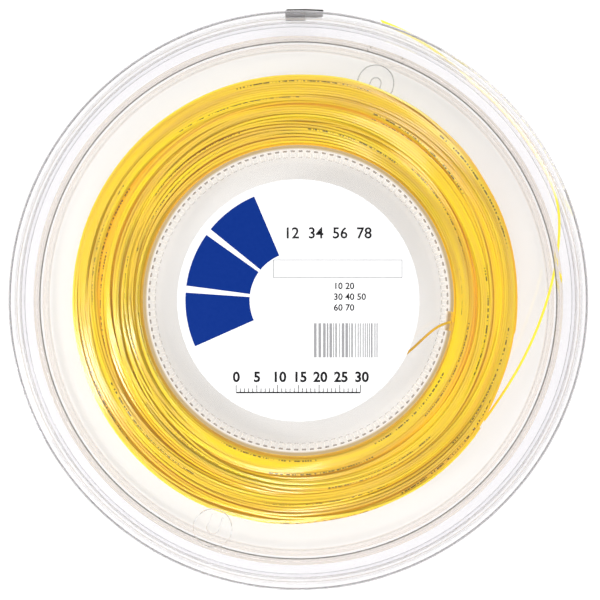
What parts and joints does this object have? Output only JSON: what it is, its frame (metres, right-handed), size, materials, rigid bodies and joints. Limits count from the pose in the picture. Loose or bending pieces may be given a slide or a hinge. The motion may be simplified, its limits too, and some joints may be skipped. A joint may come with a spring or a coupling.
{
  "type": "string reel",
  "caption": "Clear plastic reel with a ribbed hub, wound with yellow racket string whose free end leaves through a slot in a strip that turns between the rims.",
  "frame": {"origin": "centre of the spindle hole at the rear flange's outer face, on which the reel lies", "axes": "+Z along the reel's axis towards the labelled front face; +Y towards the black clip"},
  "size_m": [0.28, 0.2835, 0.0252],
  "materials": {
    "clear_plastic": "clear polished",
    "clear_drum": "clear polished",
    "clear_strip": "clear polished",
    "black_plastic": "satin",
    "label_paper": "coated paper",
    "yellow_string": "gloss"
  },
  "bodies": {
    "reel": {"front_flange": "clear_plastic", "rear_flange": "clear_plastic", "hub_drum": "clear_drum", "label": "label_paper", "winding_core": "yellow_string", "winding_layer": "yellow_string", "string_inner_end": "yellow_string"},
    "strip": {"closing_strip": "clear_strip", "exit_comb": "clear_strip", "strip_clip": "black_plastic", "string_tail": "yellow_string"}
  },
  "joints": [
    {"name": "strip_turn", "type": "hinge", "parent": "reel", "child": "strip", "pos_m": [0, 0, 0.0125], "axis": [0, 0, 1], "continuous": true}
  ]
}
